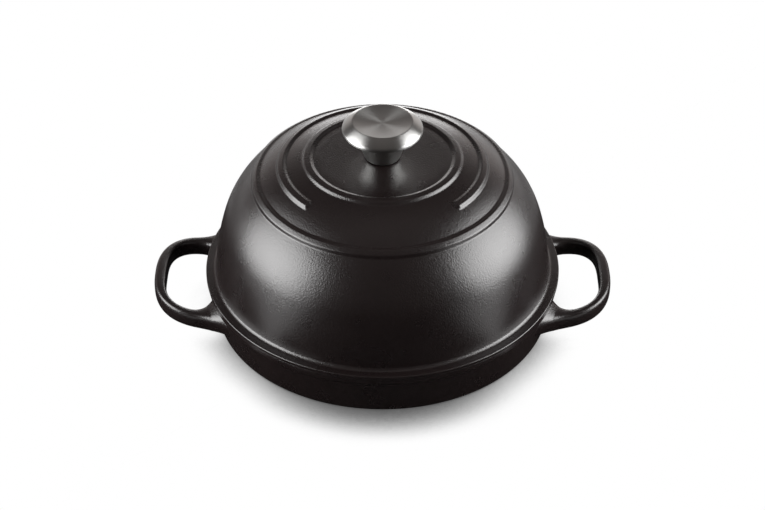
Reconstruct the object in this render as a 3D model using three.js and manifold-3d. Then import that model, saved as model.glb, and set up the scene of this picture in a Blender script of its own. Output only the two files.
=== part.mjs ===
// Cast iron bread pot: a shallow enamelled pan with two loop handles, a tall domed lid and a steel knob.
// Millimetres, +Z up. The pan stands on z = 0 with the pot's axis on Z, the handles lie along X,
// and the bare stretch of the lid's middle rib faces -Y.

import * as THREE from 'three';
import { mergeVertices } from 'three/addons/utils/BufferGeometryUtils.js';
import Module from 'manifold-3d';

const wasm = await Module();
wasm.setup();

// Fits
const SEAT_GAP = 0.3; // between pieces that rest on or screw against each other
const LIP_CLEARANCE = 0.6; // round the lid's lip, inside the pan

// Pan
const RIM_RADIUS = 127.2; // outside of the rim
const PAN_HEIGHT = 33.5; // table to the lid's seat
const RIM_WIDTH = 5.7; // outside of the rim to the mouth
const RIM_BAND = 3; // upright part of the rim
const RIM_EASE = 2.2; // height in which the wall eases out to the rim
const RIM_PROUD = 0.4; // rim beyond the slope of the wall
const RIM_EDGE = 0.8; // rounding of the rim's upper edge
const PAN_DRAFT = 10; // degrees that the wall leans out
const PAN_FLOOR = 5.5;
const PAN_CORNER = 3; // outer radius between wall and underside
const PAN_INNER_CORNER = 9;

// Concentric ridges that hold the loaf off the pan's floor
const RIDGE_COUNT = 4;
const RIDGE_PITCH = 22;
const RIDGE_WIDTH = 6;
const RIDGE_HEIGHT = 1.2;

// Loop handles, cast in one with the pan
const HANDLE_REACH = 38.9; // tip beyond the rim
const HANDLE_HALF_LENGTH = 47.9; // pot axis to the outside of an arm
const HANDLE_WIDTH = 8.8; // bar, seen from above
const HANDLE_THICKNESS = 12.7;
const HANDLE_HEIGHT = 16.8; // table to the middle of an arm at the wall
const HANDLE_RISE = 9.5; // degrees that the loop climbs towards its tip
const ARM_STRAIGHT = 8.2; // arm length before the bend begins
const LOOP_SQUARENESS = 2.5; // superellipse power, outside of the loop
const HOLE_SQUARENESS = 3.1; // superellipse power, finger hole
const BAR_SQUARENESS = 3.4; // superellipse power, bar section
const ROOT_LENGTH = 19.5; // stretch in which an arm swells into the wall
const ROOT_POWER = 2.4; // how late in that stretch it swells
const ROOT_OUT = 13.8; // swelling away from the finger hole
const ROOT_TUCK = 0.5; // share of that lost at the underside
const ROOT_IN = 12; // swelling into the finger hole
const ROOT_UP = 5.8; // swelling up to the rim
const ROOT_SINK = 2.5; // bar carried on inside the wall

// Lid
const LID_HEIGHT = 96.2; // underside of the flange to the crown
const LID_WALL = 4.2;
const CROWN_THICKNESS = 4.6;
const FLANGE_OVERHANG = 0.8; // flange beyond the rim
const FLANGE_WIDTH = 7.5; // edge to the foot of the dome
const FLANGE_THICKNESS = 2.7;
const FLANGE_EDGE = 0.7; // rounding of the flange's upper edge
const FLANGE_FILLET = 3; // hollow between flange and dome
const LIP_DEPTH = 4; // lip that drops inside the pan
const LIP_WIDTH = 3.6;
const DOME_DRAFT = 4; // degrees, lean of the dome's foot
const SHOULDER_START = 16.4; // degrees, lean where the shoulder begins
const SHOULDER_RADIUS = 75.4;

// Raised ribs on the lid's shoulder, the middle one stopped short of the front
const FIRST_RIB_RADIUS = 52.7;
const RIB_PITCH = 18.4;
const RIB_WIDTH = 6; // half way up the edges
const RIB_RUN = 3; // how far an edge of a rib runs out
const RIB_HEIGHT = 1.7;
const RIB_SINK = 1; // middle rib carried on inside the shoulder
const RIB_BREAK = 44.6; // degrees bare on each side of the front

// Knob, two pressed shells
const KNOB_HEIGHT = 29.4; // crown to the edge of the top disc
const KNOB_RADIUS = 28.3;
const KNOB_DISH = 1.5; // hollow of the top disc
const KNOB_BEVEL_WIDTH = 7.1; // edge of the disc to the widest part of the rim, seen from above
const KNOB_BEVEL_DROP = 6.3; // the same, seen from the side
const KNOB_BEVEL_START = 52; // degrees of the bevel's ellipse at the disc
const KNOB_ROLL_RADIUS = 2.6; // rounding under the rim
const KNOB_ROLL_TURN = 75; // degrees that the rim is rolled under
const KNOB_WALL = 1.4;
const KNOB_FOOT_RADIUS = 12.2;
const NECK_LEAN = 20; // degrees that the neck leans out at its foot
const NECK_PULL = 12; // how far the neck keeps that lean
const FLARE_PULL = 9; // how far the flare keeps the rolled rim's direction

// Knob fixing
const SCREW_RADIUS = 3;
const SCREW_CLEARANCE = 0.4; // holes round the shank
const SCREW_HEAD_RADIUS = 5.6;
const SCREW_HEAD_HEIGHT = 3.4;
const SCREW_SLOT_WIDTH = 1.4;
const SCREW_SLOT_DEPTH = 1.5;
const SCREW_GRIP = 8; // shank inside the insert
const INSERT_RADIUS = 9;
const INSERT_HEIGHT = 11.5;
const FLAT_WASHER_RADIUS = 8;
const FLAT_WASHER_THICKNESS = 1.2;
const SPRING_WASHER_RADIUS = 5.4;
const SPRING_WASHER_THICKNESS = 1.5;
const SPRING_WASHER_SLIT = 1.3;

// Facets
const CASTING_SEGMENTS = 48;
const KNOB_SEGMENTS = 36;
const HARDWARE_SEGMENTS = 24;
const LOOP_STATIONS = 32;
const EASE_STEPS = 4; // points where the wall eases out to the rim
const ROOT_STATIONS = 5; // at each end of a loop, from the bend into the wall
const BAR_SIDES = 12;
const BEVEL_STEPS = 6; // points across the knob's bevel
const NECK_STEPS = 7; // points up the knob's neck
const HEAD_STEPS = 4; // points across the screw's head

// Finishes
const ENAMEL = { color: 0x1f1d1c, roughness: 0.42, metalness: 0 };
const BRUSHED_STEEL = { color: 0xb4b1ac, roughness: 0.32, metalness: 1 };
const PLATED_STEEL = { color: 0x9a9a98, roughness: 0.4, metalness: 1 };

const radians = THREE.MathUtils.degToRad;
const degrees = THREE.MathUtils.radToDeg;
const point = (r, z) => new THREE.Vector2(r, z);

// Points on an arc about (cr, cz) from one angle in degrees to another, both ends included.
function arc(cr, cz, radius, from, to, steps) {
  return Array.from({ length: steps + 1 }, (_, i) => {
    const angle = radians(from + (to - from) * i / steps);
    return point(cr + radius * Math.cos(angle), cz + radius * Math.sin(angle));
  });
}

// Round ridge on the pan's floor: its height at a place across it, from -1 to 1.
const RIDGE_PLACES = [-1, -0.7, 0, 0.7, 1];
const ridgeShare = (place) => Math.sqrt(1 - place * place);

// Solid of revolution about Z. The profile runs anticlockwise, radius to the right and height up.
function revolve(profile, segments) {
  const geometry = new THREE.LatheGeometry(profile, segments);
  geometry.rotateX(Math.PI / 2);
  return geometry;
}

// Mesh geometry to a solid that can be joined and cut.
function solid(geometry) {
  const bare = geometry.clone();
  bare.deleteAttribute('normal');
  bare.deleteAttribute('uv');
  const merged = mergeVertices(bare, 1e-4);
  const index = merged.index.array;
  const triangles = [];
  for (let i = 0; i < index.length; i += 3) {
    const [a, b, c] = [index[i], index[i + 1], index[i + 2]];
    if (a !== b && b !== c && c !== a) triangles.push(a, b, c);
  }
  const mesh = new wasm.Mesh({
    numProp: 3,
    vertProperties: new Float32Array(merged.attributes.position.array),
    triVerts: new Uint32Array(triangles),
  });
  return new wasm.Manifold(mesh);
}

// A solid back to mesh geometry.
function faceted(body) {
  const mesh = body.getMesh();
  const geometry = new THREE.BufferGeometry();
  geometry.setAttribute('position', new THREE.BufferAttribute(new Float32Array(mesh.vertProperties), 3));
  geometry.setIndex(new THREE.BufferAttribute(new Uint32Array(mesh.triVerts), 1));
  geometry.computeVertexNormals();
  return geometry;
}

function piece(name, geometry, finish) {
  const mesh = new THREE.Mesh(geometry, new THREE.MeshStandardMaterial(finish));
  mesh.name = name;
  return mesh;
}

// Pan: the outside of the wall at a height, the same where it eases out to the rim by a smooth step, and
// the inside of the wall, which is upright round the lid's lip.
const wallLean = Math.tan(radians(PAN_DRAFT));
const wallRadius = (z) => RIM_RADIUS - RIM_PROUD - (PAN_HEIGHT - z) * wallLean;
const bandFoot = PAN_HEIGHT - RIM_EDGE - RIM_BAND;
const easedRadius = (z) => {
  const share = THREE.MathUtils.smoothstep(z, bandFoot - RIM_EASE, bandFoot);
  return THREE.MathUtils.lerp(wallRadius(z), RIM_RADIUS, share);
};
const panMouth = RIM_RADIUS - RIM_WIDTH;
const mouthFoot = PAN_HEIGHT - LIP_DEPTH - LIP_CLEARANCE;
const innerRadius = (z) => panMouth - (mouthFoot - z) * wallLean;
const handleWall = wallRadius(HANDLE_HEIGHT);

function panProfile() {
  const outerCorner = arc(wallRadius(PAN_CORNER) - PAN_CORNER, PAN_CORNER, PAN_CORNER, -90, -PAN_DRAFT, 4);
  const ease = Array.from({ length: EASE_STEPS + 1 }, (_, i) => {
    const z = bandFoot - RIM_EASE * (1 - i / EASE_STEPS);
    return point(easedRadius(z), z);
  });
  const rimEdge = arc(RIM_RADIUS - RIM_EDGE, PAN_HEIGHT - RIM_EDGE, RIM_EDGE, 0, 90, 2);
  const innerFoot = PAN_FLOOR + PAN_INNER_CORNER;
  const innerMiddle = innerRadius(innerFoot) - PAN_INNER_CORNER;
  const innerCorner = arc(innerMiddle, innerFoot, PAN_INNER_CORNER, -PAN_DRAFT, -90, 4);
  const ridges = [];
  for (let i = RIDGE_COUNT; i > 0; i -= 1) {
    for (const place of RIDGE_PLACES) {
      const r = i * RIDGE_PITCH - place * RIDGE_WIDTH / 2;
      ridges.push(point(r, PAN_FLOOR + RIDGE_HEIGHT * ridgeShare(place)));
    }
  }
  return [
    point(0, 0),
    ...outerCorner,
    ...ease,
    ...rimEdge,
    point(panMouth, PAN_HEIGHT),
    point(panMouth, mouthFoot),
    ...innerCorner,
    ...ridges,
    point(0, PAN_FLOOR),
  ];
}

// How far an arm has swollen at a distance from the wall: 1 at the wall and 0 at ROOT_LENGTH.
function swelling(distance) {
  return (1 - THREE.MathUtils.clamp(distance / ROOT_LENGTH, 0, 1)) ** ROOT_POWER;
}

// One edge of the loop in plan, from the arm at +Y round the tip to the arm at -Y, as share runs from 0
// to 1: half a superellipse that starts a straight arm's length from the wall.
function loopEdge(share, halfLength, tip, power) {
  const bendX = Math.sqrt(handleWall ** 2 - halfLength ** 2) + ARM_STRAIGHT;
  const angle = Math.PI * (0.5 - 0.5 * Math.cos(Math.PI * share));
  const x = bendX + (tip - bendX) * Math.sin(angle) ** (2 / power);
  const y = halfLength * Math.sign(Math.cos(angle)) * Math.abs(Math.cos(angle)) ** (2 / power);
  return point(x, y);
}

const squared = (value) => Math.sign(value) * Math.abs(value) ** (2 / BAR_SQUARENESS);

// A point of the bar. share goes along the loop, landing from 0 at the bend to 1 inside the wall, and
// angle round the section. Near the wall the bar swells along the wall and up to the rim.
function barPoint(share, landing, angle) {
  const tip = RIM_RADIUS + HANDLE_REACH;
  const outer = loopEdge(share, HANDLE_HALF_LENGTH, tip, LOOP_SQUARENESS);
  const inner = loopEdge(share, HANDLE_HALF_LENGTH - HANDLE_WIDTH, tip - HANDLE_WIDTH, HOLE_SQUARENESS);
  const middle = outer.clone().lerp(inner, 0.5);
  const height = HANDLE_HEIGHT + (middle.x - handleWall) * Math.tan(radians(HANDLE_RISE));
  const across = (1 + squared(Math.cos(angle))) / 2;
  const up = squared(Math.sin(angle));
  const rootRise = up > 0 ? ROOT_UP : 0;
  const plan = inner.clone().lerp(outer, across);
  const wall = wallRadius(height + (HANDLE_THICKNESS / 2 + rootRise) * up);
  const r = THREE.MathUtils.lerp(plan.length(), wall - ROOT_SINK, landing);
  const root = swelling(r - wall);
  const rootOut = ROOT_OUT * (1 + ROOT_TUCK * Math.min(up, 0));
  const sideways = Math.sign(plan.y) * root * THREE.MathUtils.lerp(-ROOT_IN, rootOut, across);
  const turn = Math.asin(plan.y / r) + sideways / r;
  const z = height + (HANDLE_THICKNESS / 2 + root * rootRise) * up;
  return [r * Math.cos(turn), r * Math.sin(turn), z];
}

// Loop handle on the +X side: a rounded bar lofted between the outer and inner edge of the loop.
function loopHandle() {
  const stations = LOOP_STATIONS + 2 * ROOT_STATIONS;
  const positions = [];
  const index = [];
  for (let i = 0; i <= stations; i += 1) {
    const along = (i - ROOT_STATIONS) / LOOP_STATIONS;
    const share = THREE.MathUtils.clamp(along, 0, 1);
    const landing = Math.abs(along - share) * LOOP_STATIONS / ROOT_STATIONS;
    for (let j = 0; j < BAR_SIDES; j += 1) {
      positions.push(...barPoint(share, landing, 2 * Math.PI * j / BAR_SIDES));
    }
  }
  for (let i = 0; i < stations; i += 1) {
    for (let j = 0; j < BAR_SIDES; j += 1) {
      const k = (j + 1) % BAR_SIDES;
      const [a, b] = [i * BAR_SIDES + j, i * BAR_SIDES + k];
      index.push(a, b, a + BAR_SIDES, b, b + BAR_SIDES, a + BAR_SIDES);
    }
  }
  const last = stations * BAR_SIDES;
  for (let j = 1; j < BAR_SIDES - 1; j += 1) {
    index.push(0, j + 1, j, last, last + j, last + j + 1);
  }
  const geometry = new THREE.BufferGeometry();
  geometry.setAttribute('position', new THREE.Float32BufferAttribute(positions, 3));
  geometry.setIndex(index);
  return geometry;
}

function basePan() {
  const right = loopHandle();
  const left = right.clone().rotateZ(Math.PI);
  const body = solid(revolve(panProfile(), CASTING_SEGMENTS)).add(solid(right)).add(solid(left));
  return faceted(body);
}

// Lid, with z = 0 on the underside of its flange.
const flangeRadius = RIM_RADIUS + FLANGE_OVERHANG;
const domeFoot = flangeRadius - FLANGE_WIDTH;
const footSine = Math.sin(radians(DOME_DRAFT));
const footCosine = Math.cos(radians(DOME_DRAFT));
const startSine = Math.sin(radians(SHOULDER_START));
const startCosine = Math.cos(radians(SHOULDER_START));
const domeFootHeight = FLANGE_THICKNESS + FLANGE_FILLET * (1 - footSine);

// The dome's wall is an arc that leaves its foot at DOME_DRAFT and meets the shoulder at SHOULDER_START.
const wallRise = LID_HEIGHT - domeFootHeight - SHOULDER_RADIUS * (1 - startSine);
const domeWallRadius = wallRise / (startSine - footSine);
const wallMiddle = point(domeFoot - domeWallRadius * footCosine, domeFootHeight - domeWallRadius * footSine);
const shoulderMiddle = point(
  wallMiddle.x + (domeWallRadius - SHOULDER_RADIUS) * startCosine,
  LID_HEIGHT - SHOULDER_RADIUS,
);
const ribAngle = (rib) => {
  const radius = FIRST_RIB_RADIUS + rib * RIB_PITCH;
  return degrees(Math.acos((radius - shoulderMiddle.x) / SHOULDER_RADIUS));
};
const ribHalfTurn = degrees((RIB_WIDTH + RIB_RUN) / 2 / SHOULDER_RADIUS);
const ribTopTurn = degrees((RIB_WIDTH - RIB_RUN) / 2 / SHOULDER_RADIUS);
const SHOULDER_STEP = 10; // degrees between points of the shoulder

function shoulderArc(radius, from, to) {
  const steps = Math.ceil(Math.abs(to - from) / SHOULDER_STEP);
  return arc(shoulderMiddle.x, shoulderMiddle.y, radius, from, to, steps);
}

// Crest of a rib, from its outer foot to its inner one: a flat top with sloping edges.
function ribCrest(rib) {
  const places = [[-ribHalfTurn, 0], [-ribTopTurn, RIB_HEIGHT], [ribTopTurn, RIB_HEIGHT], [ribHalfTurn, 0]];
  return places.map(([turn, lift]) => {
    const radius = SHOULDER_RADIUS + lift;
    const angle = radians(ribAngle(rib) + turn);
    return point(shoulderMiddle.x + radius * Math.cos(angle), shoulderMiddle.y + radius * Math.sin(angle));
  });
}

function lidProfile() {
  const lipOuter = panMouth - LIP_CLEARANCE;
  const lipInner = lipOuter - LIP_WIDTH;
  const holeRadius = SCREW_RADIUS + SCREW_CLEARANCE;
  const outerRib = ribAngle(2);
  const innerRib = ribAngle(0);
  const fillet = point(domeFoot + FLANGE_FILLET * footCosine, FLANGE_THICKNESS + FLANGE_FILLET);
  return [
    point(lipInner, -LIP_DEPTH),
    point(lipOuter, -LIP_DEPTH),
    point(lipOuter, 0),
    point(flangeRadius, 0),
    ...arc(flangeRadius - FLANGE_EDGE, FLANGE_THICKNESS - FLANGE_EDGE, FLANGE_EDGE, 0, 90, 2),
    ...arc(fillet.x, fillet.y, FLANGE_FILLET, 270, 180 + DOME_DRAFT, 5),
    ...arc(wallMiddle.x, wallMiddle.y, domeWallRadius, DOME_DRAFT, SHOULDER_START, 3).slice(1, -1),
    ...shoulderArc(SHOULDER_RADIUS, SHOULDER_START, outerRib - ribHalfTurn).slice(0, -1),
    ...ribCrest(2),
    ...shoulderArc(SHOULDER_RADIUS, outerRib + ribHalfTurn, innerRib - ribHalfTurn).slice(1, -1),
    ...ribCrest(0),
    ...shoulderArc(SHOULDER_RADIUS, innerRib + ribHalfTurn, 90).slice(1),
    point(holeRadius, LID_HEIGHT),
    point(holeRadius, LID_HEIGHT - CROWN_THICKNESS),
    point(shoulderMiddle.x, LID_HEIGHT - CROWN_THICKNESS),
    ...shoulderArc(SHOULDER_RADIUS - LID_WALL, 90 - SHOULDER_STEP, SHOULDER_START),
    ...arc(wallMiddle.x, wallMiddle.y, domeWallRadius - LID_WALL, SHOULDER_START, DOME_DRAFT, 3).slice(1),
    point(lipInner, FLANGE_THICKNESS),
    point(lipInner, -LIP_DEPTH),
  ];
}

// Middle rib: a full ring with its root inside the shoulder, less a sector at the front.
function brokenRib() {
  const root = [ribHalfTurn, -ribHalfTurn].map((turn) => {
    const angle = radians(ribAngle(1) + turn);
    const radius = SHOULDER_RADIUS - RIB_SINK;
    return point(shoulderMiddle.x + radius * Math.cos(angle), shoulderMiddle.y + radius * Math.sin(angle));
  });
  const crest = ribCrest(1);
  const ring = solid(revolve([...crest, ...root, crest[0]], CASTING_SEGMENTS));
  const reach = 2 * flangeRadius;
  const sector = new THREE.Shape();
  sector.moveTo(0, 0);
  sector.lineTo(-reach * Math.sin(radians(RIB_BREAK)), -reach * Math.cos(radians(RIB_BREAK)));
  sector.lineTo(reach * Math.sin(radians(RIB_BREAK)), -reach * Math.cos(radians(RIB_BREAK)));
  const front = new THREE.ExtrudeGeometry(sector, { depth: 2 * LID_HEIGHT, bevelEnabled: false });
  return ring.subtract(solid(front));
}

function lidDome() {
  return faceted(solid(revolve(lidProfile(), CASTING_SEGMENTS)).add(brokenRib()));
}

// Knob, with z = 0 under its foot.
const rimHeight = KNOB_HEIGHT - KNOB_BEVEL_DROP;

// Upper shell: dished disc, rounded bevel, and a rim rolled under.
function knobCap() {
  const start = radians(KNOB_BEVEL_START);
  const bevelRadius = KNOB_BEVEL_WIDTH / (1 - Math.cos(start));
  const bevelHeight = KNOB_BEVEL_DROP / Math.sin(start);
  const face = (inset) => {
    const bevel = Array.from({ length: BEVEL_STEPS + 1 }, (_, i) => {
      const angle = start * (1 - i / BEVEL_STEPS);
      const r = KNOB_RADIUS - bevelRadius + (bevelRadius - inset) * Math.cos(angle);
      return point(r, rimHeight + (bevelHeight - inset) * Math.sin(angle));
    });
    const rollMiddle = KNOB_RADIUS - KNOB_ROLL_RADIUS;
    const roll = arc(rollMiddle, rimHeight, KNOB_ROLL_RADIUS - inset, 0, -KNOB_ROLL_TURN, 3);
    return [point(0, KNOB_HEIGHT - KNOB_DISH - inset), ...bevel, ...roll.slice(1)];
  };
  return revolve([...face(KNOB_WALL), ...face(0).reverse()], KNOB_SEGMENTS);
}

// Lower shell: a flat foot with the screw hole, and a neck that flares up to carry on the rolled rim.
function knobStem() {
  const turn = radians(KNOB_ROLL_TURN);
  const lean = radians(NECK_LEAN);
  const inward = point(-Math.sin(turn), -Math.cos(turn));
  const rollEnd = point(
    KNOB_RADIUS - KNOB_ROLL_RADIUS * (1 - Math.cos(turn)),
    rimHeight - KNOB_ROLL_RADIUS * Math.sin(turn),
  );
  const foot = point(KNOB_FOOT_RADIUS, 0);
  const flare = new THREE.CubicBezierCurve(
    foot,
    foot.clone().addScaledVector(point(Math.sin(lean), Math.cos(lean)), NECK_PULL),
    rollEnd.clone().addScaledVector(inward, SEAT_GAP + FLARE_PULL),
    rollEnd.clone().addScaledVector(inward, SEAT_GAP),
  );
  const shares = Array.from({ length: NECK_STEPS + 1 }, (_, i) => i / NECK_STEPS);
  const outside = shares.map((share) => flare.getPoint(share));
  const inside = shares.slice(1).map((share) => {
    const along = flare.getTangent(share);
    const at = flare.getPoint(share);
    return point(at.x - KNOB_WALL * along.y, at.y + KNOB_WALL * along.x);
  });
  const holeRadius = SCREW_RADIUS + SCREW_CLEARANCE;
  return revolve([
    point(holeRadius, 0),
    ...outside,
    ...inside.reverse(),
    point(KNOB_FOOT_RADIUS - KNOB_WALL, KNOB_WALL),
    point(holeRadius, KNOB_WALL),
    point(holeRadius, 0),
  ], KNOB_SEGMENTS);
}

// Threaded bush inside the neck, blind above the screw.
function knobInsert() {
  const boreRadius = SCREW_RADIUS + SCREW_CLEARANCE;
  const boreDepth = SCREW_GRIP + SEAT_GAP;
  return revolve([
    point(0, boreDepth),
    point(boreRadius, boreDepth),
    point(boreRadius, 0),
    point(INSERT_RADIUS, 0),
    point(INSERT_RADIUS, INSERT_HEIGHT),
    point(0, INSERT_HEIGHT),
  ], HARDWARE_SEGMENTS);
}

const stackHeight = FLAT_WASHER_THICKNESS + SPRING_WASHER_THICKNESS + 3 * SEAT_GAP;

// Screw from inside the lid: slotted round head down, z = 0 on the bearing face of the head.
function knobScrew() {
  const shank = stackHeight + CROWN_THICKNESS + SEAT_GAP + KNOB_WALL + SEAT_GAP + SCREW_GRIP;
  const dome = Array.from({ length: HEAD_STEPS + 1 }, (_, i) => {
    const angle = i / HEAD_STEPS * Math.PI / 2;
    return point(SCREW_HEAD_RADIUS * Math.sin(angle), -SCREW_HEAD_HEIGHT * Math.cos(angle));
  });
  const profile = [...dome, point(SCREW_RADIUS, 0), point(SCREW_RADIUS, shank), point(0, shank)];
  const slotLength = 2 * SCREW_HEAD_RADIUS + SCREW_SLOT_WIDTH;
  const slot = new THREE.BoxGeometry(SCREW_SLOT_WIDTH, slotLength, 2 * SCREW_SLOT_DEPTH);
  slot.translate(0, 0, -SCREW_HEAD_HEIGHT);
  return faceted(solid(revolve(profile, HARDWARE_SEGMENTS)).subtract(solid(slot)));
}

function flatWasher() {
  const holeRadius = SCREW_RADIUS + SCREW_CLEARANCE;
  return revolve([
    point(holeRadius, 0),
    point(FLAT_WASHER_RADIUS, 0),
    point(FLAT_WASHER_RADIUS, FLAT_WASHER_THICKNESS),
    point(holeRadius, FLAT_WASHER_THICKNESS),
    point(holeRadius, 0),
  ], HARDWARE_SEGMENTS);
}

// Split ring, drawn flat as it lies under a tight screw.
function springWasher() {
  const holeRadius = SCREW_RADIUS + SCREW_CLEARANCE;
  const turn = SPRING_WASHER_SLIT / 2 / SPRING_WASHER_RADIUS;
  const ring = new THREE.Shape();
  ring.absarc(0, 0, SPRING_WASHER_RADIUS, turn, 2 * Math.PI - turn, false);
  ring.absarc(0, 0, holeRadius, 2 * Math.PI - turn, turn, true);
  return new THREE.ExtrudeGeometry(ring, {
    depth: SPRING_WASHER_THICKNESS,
    bevelEnabled: false,
    curveSegments: HARDWARE_SEGMENTS / 2,
  });
}

const knob = new THREE.Group();
knob.position.z = LID_HEIGHT + SEAT_GAP;
const insert = piece('knob_insert', knobInsert(), PLATED_STEEL);
insert.position.z = KNOB_WALL + SEAT_GAP;
knob.add(piece('knob_cap', knobCap(), BRUSHED_STEEL), piece('knob_stem', knobStem(), BRUSHED_STEEL), insert);

const fixing = new THREE.Group();
fixing.position.z = LID_HEIGHT - CROWN_THICKNESS - stackHeight;
const spring = piece('spring_washer', springWasher(), PLATED_STEEL);
spring.position.z = SEAT_GAP;
const washer = piece('flat_washer', flatWasher(), PLATED_STEEL);
washer.position.z = 2 * SEAT_GAP + SPRING_WASHER_THICKNESS;
fixing.add(piece('knob_screw', knobScrew(), PLATED_STEEL), spring, washer);

const lid = new THREE.Group();
lid.position.z = PAN_HEIGHT + SEAT_GAP;
lid.add(piece('lid_dome', lidDome(), ENAMEL), knob, fixing);

const pot = new THREE.Group();
pot.name = 'bread_pot';
pot.add(piece('base_pan', basePan(), ENAMEL), lid);

export default pot;
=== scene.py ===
"""Looks of a cast iron bread pot: a shallow enamelled pan with two loop handles, a tall domed lid with
raised ribs, and a brushed steel knob. The pan, lid and knob are turned and lofted afresh, finer than the
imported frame, in metres and in the frame's own place."""

import math

import bmesh
import bpy
import numpy as np
from bpy.props import FloatProperty, FloatVectorProperty, IntProperty, PointerProperty
from bpy.types import Operator, Panel, PropertyGroup
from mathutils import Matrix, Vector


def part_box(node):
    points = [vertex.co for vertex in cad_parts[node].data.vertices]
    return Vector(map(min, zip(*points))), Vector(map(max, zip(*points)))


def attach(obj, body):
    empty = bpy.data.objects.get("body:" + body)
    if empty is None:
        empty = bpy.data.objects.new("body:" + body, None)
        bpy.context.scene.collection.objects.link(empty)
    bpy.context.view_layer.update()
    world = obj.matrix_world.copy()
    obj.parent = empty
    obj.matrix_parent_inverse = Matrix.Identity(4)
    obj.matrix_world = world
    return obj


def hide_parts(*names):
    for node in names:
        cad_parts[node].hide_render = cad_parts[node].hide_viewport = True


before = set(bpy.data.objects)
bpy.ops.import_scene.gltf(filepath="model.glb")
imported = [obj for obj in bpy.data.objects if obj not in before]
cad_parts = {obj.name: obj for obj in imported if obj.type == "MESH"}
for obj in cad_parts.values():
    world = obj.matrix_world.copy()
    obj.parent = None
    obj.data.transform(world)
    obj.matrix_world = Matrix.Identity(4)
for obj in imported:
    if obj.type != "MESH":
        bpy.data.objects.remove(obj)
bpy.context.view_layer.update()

bl_info = {
    "name": "Bread pot",
    "version": (1, 0, 0),
    "blender": (4, 5, 0),
    "location": "3D View > Sidebar > Bread pot",
    "description": "Builds an enamelled cast iron bread pot with a domed lid and a steel knob",
    "category": "Add Mesh",
}

MM = 0.001
STEM_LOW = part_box("knob_stem")[0]

# How finely the pieces are drawn
CASTING_TURNS = 240
KNOB_TURNS = 160
RIB_END_TURNS = 24
SHOULDER_ROWS = 220
BAR_SIDES = 40
LOOP_STATIONS = 150
ROOT_STATIONS = 46
SAME_POINT = 1e-6

# How far the closer turns reach at each end of the broken rib, as a share of the rib's width
RIB_END_REACH = 0.6

# Anisotropic rotation that draws highlights out across the brush marks, and the noise values between
# which plated steel turns dull
ACROSS_MARKS = 0.25
TARNISH_STEP = (0.35, 0.65)

# The stage: side of the square floor, height of the cloths on it, which show only in reflections, rays of
# the ambient occlusion that paints the floor's contact shadow, and the width of the camera's sensor in
# millimetres
FLOOR_SIDE = 30.0
CLOTH_HEIGHT = 0.0002
SHADOW_RAYS = 32
SENSOR_WIDTH = 36

# The room's lights, as steps of a direction from where a light begins to where it is full: the glow's
# step towards the back, its step downwards, and the ceiling's step upwards
GLOW_BACK = (0.55, 1.0)
GLOW_LOW = (0.62, 0.15)
CEILING_STEP = (0.88, 1.0)


def length(name, description, millimetres):
    """A property for a length, written in millimetres and kept in metres."""
    return FloatProperty(
        name=name, description=description, default=millimetres * MM, precision=5, unit="LENGTH")


def angle(name, description, degrees):
    """A property for an angle, written in degrees."""
    return FloatProperty(
        name=name, description=description, default=math.radians(degrees), subtype="ANGLE")


def number(name, description, default):
    """A property for a plain number."""
    return FloatProperty(name=name, description=description, default=default, precision=4)


def colour(name, description, default):
    """A property for a linear colour."""
    return FloatVectorProperty(
        name=name, description=description, default=default, size=3, subtype="COLOR", min=0, max=1)


class PanShape(PropertyGroup):
    """Sizes of the pan's bowl."""

    rim_radius: length("Rim radius", "Outside of the rim", 127.2)
    seat: length("Seat", "Table to the ring that carries the lid", 33.5)
    rim_width: length("Rim width", "Outside of the rim to the mouth", 5.7)
    band: length("Rim band", "Upright part of the rim", 3)
    ease: length("Rim ease", "Height in which the wall eases out to the rim", 2.2)
    proud: length("Rim overhang", "Rim beyond the slope of the wall", 0.4)
    edge: length("Rim edge", "Rounding of the rim's upper edges", 0.8)
    mouth_depth: length("Mouth depth", "Upright part of the inside, round the lid's lip", 4.6)
    draft: angle("Draft", "How far the wall leans out", 10)
    floor: length("Floor", "Thickness of the floor", 5.5)
    corner: length("Outer corner", "Rounding between wall and underside", 3)
    inner_corner: length("Inner corner", "Rounding between wall and floor", 9)
    ridges: IntProperty(name="Ridges", description="Rings that hold the loaf off the floor", default=4)
    ridge_pitch: length("Ridge pitch", "Distance between the rings", 22)
    ridge_width: length("Ridge width", "Width of a ring", 6)
    ridge_height: length("Ridge height", "Height of a ring", 1.2)


class HandleShape(PropertyGroup):
    """Sizes of the two loop handles."""

    tip: length("Tip", "Pot's axis to the outside of the loop", 166.1)
    half_length: length("Half length", "Pot's axis to the outside of an arm", 47.9)
    width: length("Bar width", "Bar seen from above", 8.8)
    thickness: length("Bar thickness", "Bar seen from the side", 12.7)
    height: length("Height", "Table to the middle of an arm at the wall", 16.8)
    rise: angle("Rise", "How steeply the loop climbs towards its tip", 9.5)
    straight: length("Straight arm", "Arm before the bend begins", 8.2)
    loop_power: number("Loop power", "Superellipse power of the loop's outside", 2.5)
    hole_power: number("Hole power", "Superellipse power of the finger hole", 3.1)
    bar_power: number("Bar power", "Superellipse power of the bar's section", 3.4)
    root_length: length("Root length", "Stretch in which an arm swells into the wall", 19.5)
    root_power: number("Root power", "How late in that stretch it swells", 2.4)
    root_out: length("Root outwards", "Swelling away from the finger hole", 13.8)
    root_tuck: number("Root tuck", "Share of the outward swelling lost at the underside", 0.5)
    root_in: length("Root inwards", "Swelling into the finger hole", 12)
    root_up: length("Root upwards", "Swelling up to the rim", 5.8)
    sink: length("Sink", "Bar carried on inside the wall", 2.5)


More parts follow.
